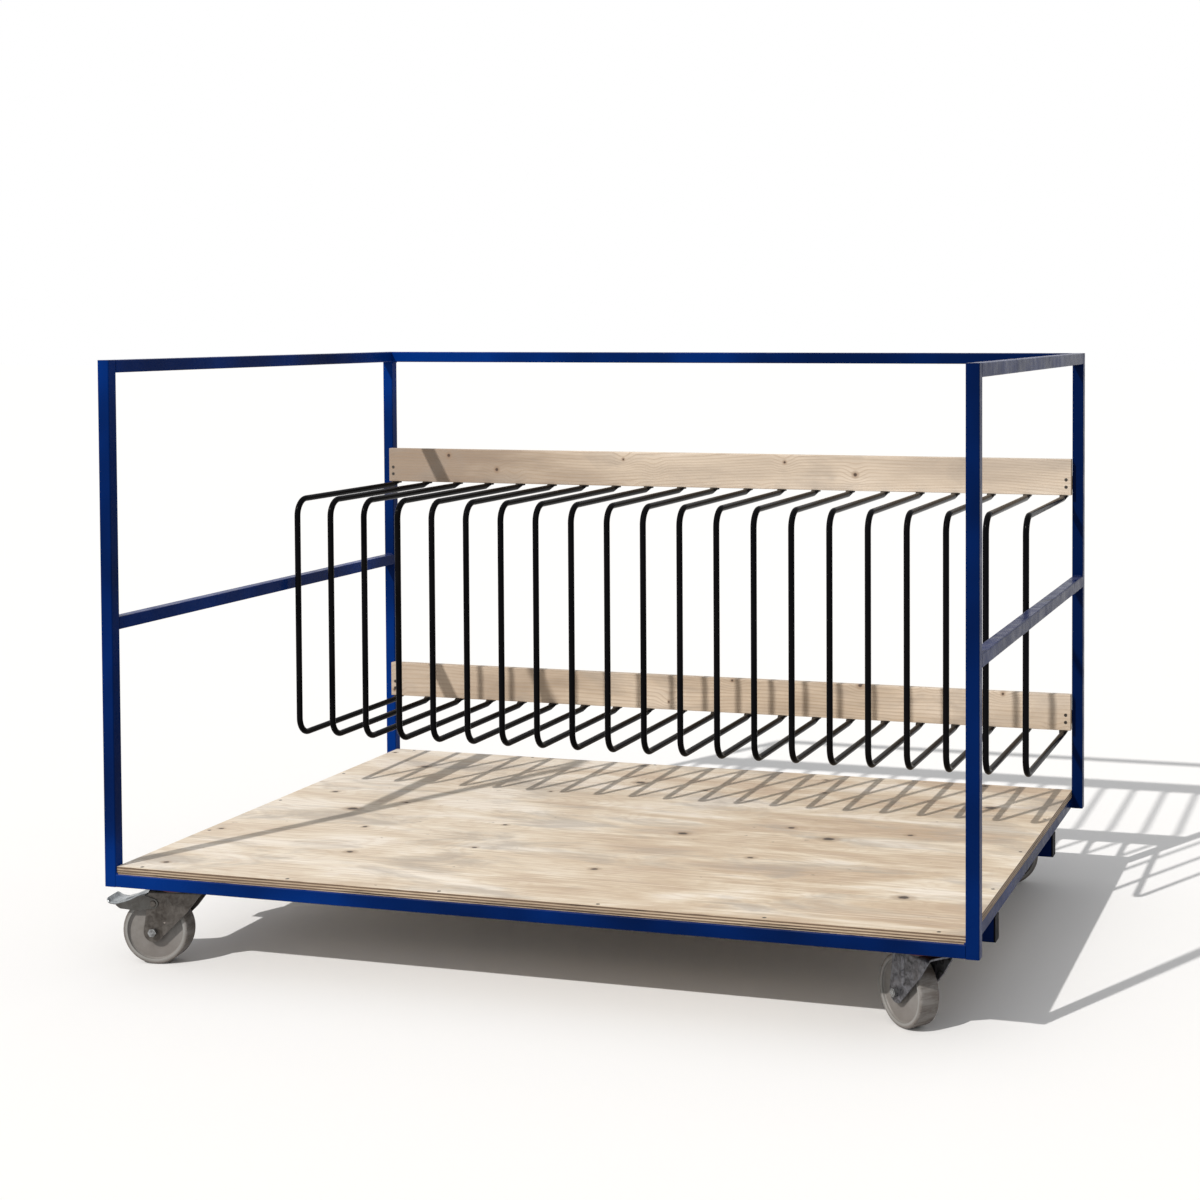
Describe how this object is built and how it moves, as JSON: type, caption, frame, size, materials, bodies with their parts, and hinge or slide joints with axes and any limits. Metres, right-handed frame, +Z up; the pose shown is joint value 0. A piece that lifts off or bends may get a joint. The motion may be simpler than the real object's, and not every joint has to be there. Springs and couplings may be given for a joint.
{
  "type": "panel trolley",
  "caption": "Welded square-tube trolley with a plywood deck, an open front, a rear rack of bent hoops for panels on edge, and swivel castors, two of them with brake pedals.",
  "frame": {"origin": "centre of the plywood deck's top face between the posts, midway over the frame's length and depth", "axes": "+X along the trolley's length to the right as seen from the open front, +Y to the rear rack, +Z up"},
  "size_m": [2.1316, 1.4, 1.435],
  "materials": {
    "blue_frame": "deep blue powder coat, semi-gloss",
    "plywood": "bare softwood plywood with knots",
    "pine": "planed pine, bare",
    "black_hoop": "black powder coat, semi-gloss",
    "zinc_steel": "zinc plated",
    "zinc_pedal": "bright zinc plated",
    "nylon": "natural nylon, worn and dusty",
    "red_seal": "dark red plastic",
    "black_cap": "black plastic",
    "dark_screws": "dark plated steel"
  },
  "bodies": {
    "frame": {"front_left_post": "blue_frame", "front_right_post": "blue_frame", "rear_left_post": "blue_frame", "rear_right_post": "blue_frame", "top_rail_left": "blue_frame", "top_rail_right": "blue_frame", "top_rail_rear": "blue_frame", "guard_rails": "blue_frame", "base_rail_front": "blue_frame", "base_rail_rear": "blue_frame", "base_rail_left": "blue_frame", "base_rail_right": "blue_frame", "cross_tubes": "blue_frame", "cross_tube_caps": "black_cap", "corner_plates": "blue_frame", "board_rails": "blue_frame", "deck_panel": "plywood", "upper_board": "pine", "lower_board": "pine", "hoop_1": "black_hoop", "hoop_2": "black_hoop", "hoop_3": "black_hoop", "hoop_4": "black_hoop", "hoop_5": "black_hoop", "hoop_6": "black_hoop", "hoop_7": "black_hoop", "hoop_8": "black_hoop", "hoop_9": "black_hoop", "hoop_10": "black_hoop", "hoop_11": "black_hoop", "hoop_12": "black_hoop", "hoop_13": "black_hoop", "hoop_14": "black_hoop", "hoop_15": "black_hoop", "hoop_16": "black_hoop", "hoop_17": "black_hoop", "hoop_18": "black_hoop", "hoop_19": "black_hoop", "hoop_20": "black_hoop", "hoop_21": "black_hoop", "castor_plates": "zinc_steel", "dust_seals": "red_seal", "swivel_balls": "zinc_steel", "castor_bolts": "zinc_steel", "wood_screws": "dark_screws"},
    "front_left_castor": {"front_left_fork": "zinc_steel", "front_left_axle": "zinc_steel"},
    "front_left_roller": {"front_left_wheel": "nylon"},
    "front_left_brake": {"front_left_pedal": "zinc_pedal"},
    "front_right_castor": {"front_right_fork": "zinc_steel", "front_right_axle": "zinc_steel"},
    "front_right_roller": {"front_right_wheel": "nylon"},
    "rear_left_castor": {"rear_left_fork": "zinc_steel", "rear_left_axle": "zinc_steel"},
    "rear_left_roller": {"rear_left_wheel": "nylon"},
    "rear_left_brake": {"rear_left_pedal": "zinc_pedal"},
    "rear_right_castor": {"rear_right_fork": "zinc_steel", "rear_right_axle": "zinc_steel"},
    "rear_right_roller": {"rear_right_wheel": "nylon"}
  },
  "joints": [
    {"name": "front_left_swivel", "type": "hinge", "parent": "frame", "child": "front_left_castor", "pos_m": [-0.908, -0.609, -0.058], "axis": [0, 0, 1], "continuous": true},
    {"name": "front_left_wheel_turn", "type": "hinge", "parent": "front_left_castor", "child": "front_left_roller", "pos_m": [-0.95921, -0.61803, -0.163], "axis": [0.1736, -0.9848, 0], "continuous": true},
    {"name": "front_left_brake_press", "type": "hinge", "parent": "front_left_castor", "child": "front_left_brake", "pos_m": [-0.95822, -0.61786, -0.095], "axis": [0.1736, -0.9848, 0], "range_deg": [0, 12]},
    {"name": "front_right_swivel", "type": "hinge", "parent": "frame", "child": "front_right_castor", "pos_m": [0.908, -0.609, -0.058], "axis": [0, 0, 1], "continuous": true},
    {"name": "front_right_wheel_turn", "type": "hinge", "parent": "front_right_castor", "child": "front_right_roller", "pos_m": [0.86876, -0.57488, -0.163], "axis": [-0.6561, -0.7547, 0], "continuous": true},
    {"name": "rear_left_swivel", "type": "hinge", "parent": "frame", "child": "rear_left_castor", "pos_m": [-0.908, 0.609, -0.058], "axis": [0, 0, 1], "continuous": true},
    {"name": "rear_left_wheel_turn", "type": "hinge", "parent": "rear_left_castor", "child": "rear_left_roller", "pos_m": [-0.95513, 0.58702, -0.163], "axis": [0.4226, -0.9063, 0], "continuous": true},
    {"name": "rear_left_brake_press", "type": "hinge", "parent": "rear_left_castor", "child": "rear_left_brake", "pos_m": [-0.95422, 0.58745, -0.095], "axis": [0.4226, -0.9063, 0], "range_deg": [0, 12]},
    {"name": "rear_right_swivel", "type": "hinge", "parent": "frame", "child": "rear_right_castor", "pos_m": [0.908, 0.609, -0.058], "axis": [0, 0, 1], "continuous": true},
    {"name": "rear_right_wheel_turn", "type": "hinge", "parent": "rear_right_castor", "child": "rear_right_roller", "pos_m": [0.85883, 0.59207, -0.163], "axis": [0.3256, -0.9455, 0], "continuous": true}
  ]
}
